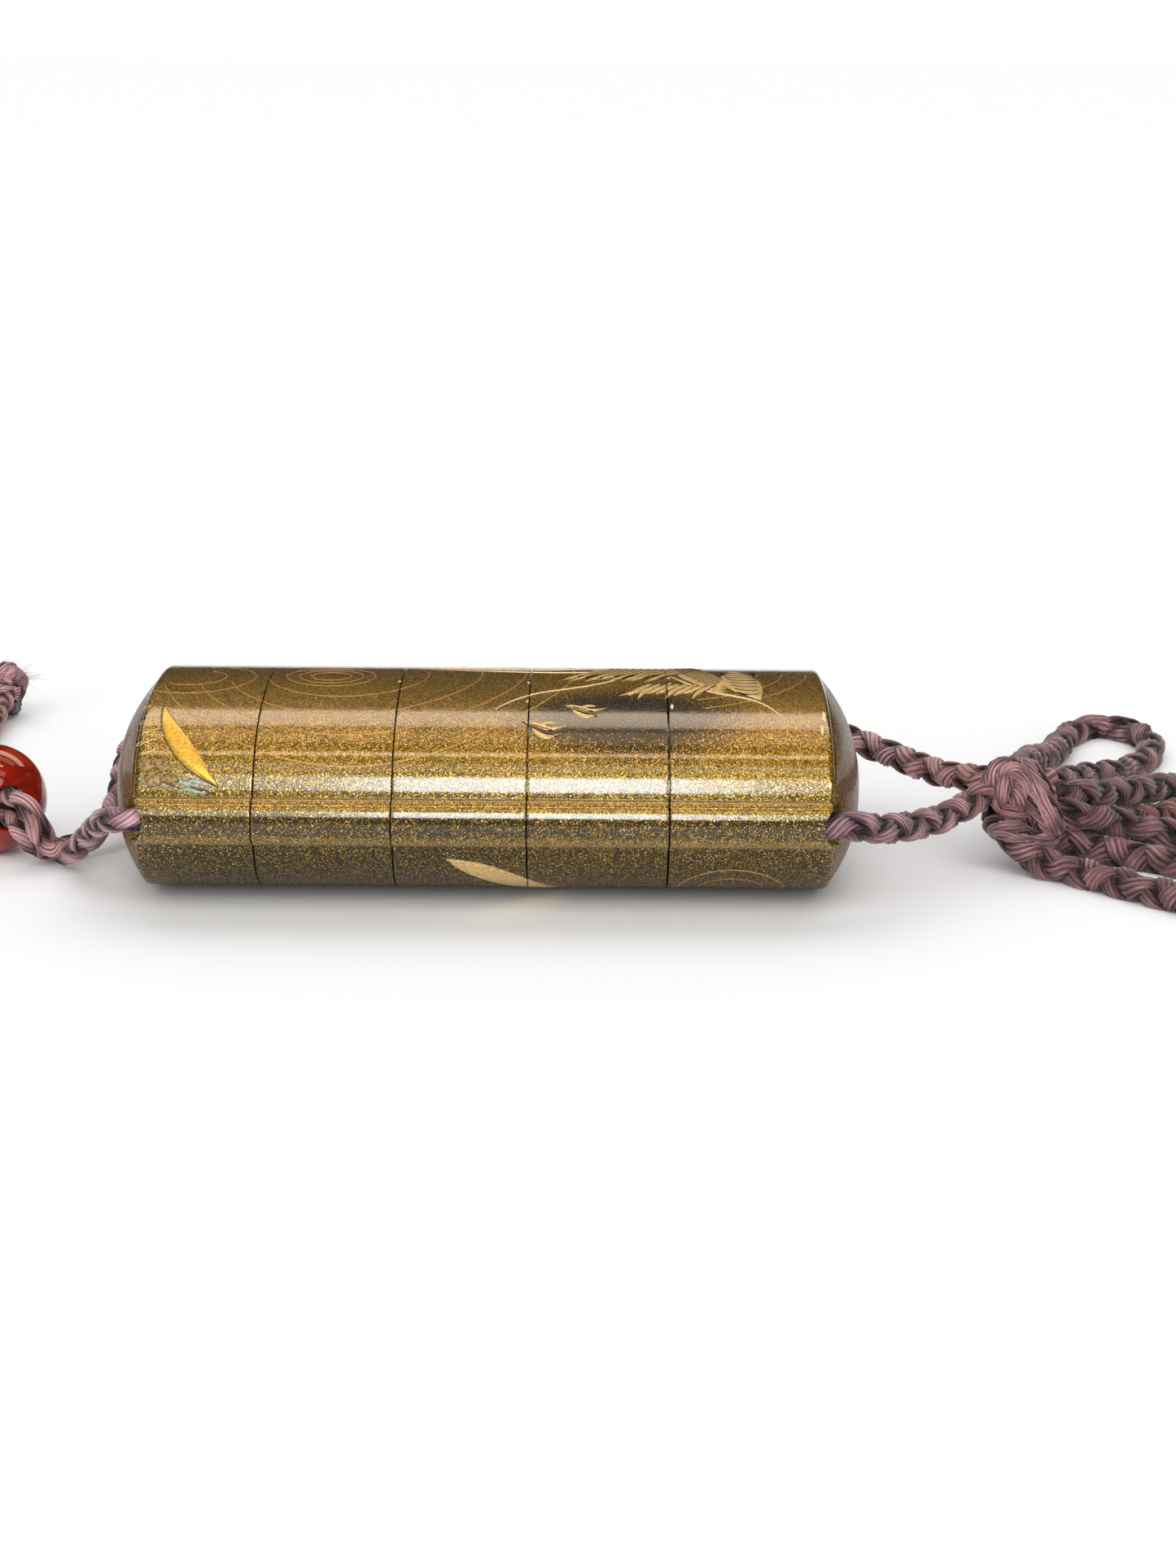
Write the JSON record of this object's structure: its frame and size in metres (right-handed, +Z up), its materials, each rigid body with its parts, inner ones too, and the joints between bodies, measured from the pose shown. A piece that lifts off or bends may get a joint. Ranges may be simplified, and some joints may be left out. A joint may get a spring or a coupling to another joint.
{
  "type": "inro",
  "caption": "Nested lacquered cases with a domed lid on a plaited silk cord, with a stone bead and a bow, lying on its broad side.",
  "frame": {"origin": "on the table, under the middle of the lacquered body", "axes": "+X along the stack from the lid towards the bottom case, +Z up out of the table"},
  "size_m": [0.194, 0.1274, 0.0253],
  "materials": {
    "gold_lacquer": "glossy lacquer thick with sprinkled gold powder",
    "carnelian": "polished translucent orange-red stone",
    "plum_silk": "dull plaited silk"
  },
  "bodies": {
    "root": {"lid": "gold_lacquer", "case_1": "gold_lacquer", "case_2": "gold_lacquer", "case_3": "gold_lacquer", "case_4": "gold_lacquer", "ojime": "carnelian", "cord_lid_near": "plum_silk", "cord_lid_far": "plum_silk", "cord_channel_near": "plum_silk", "cord_channel_far": "plum_silk", "cord_base_near": "plum_silk", "cord_base_far": "plum_silk", "bow_knot": "plum_silk", "bow_loop_back": "plum_silk", "bow_loop_middle": "plum_silk", "bow_loop_front": "plum_silk", "bow_tail": "plum_silk", "end_knot": "plum_silk"}
  },
  "joints": []
}
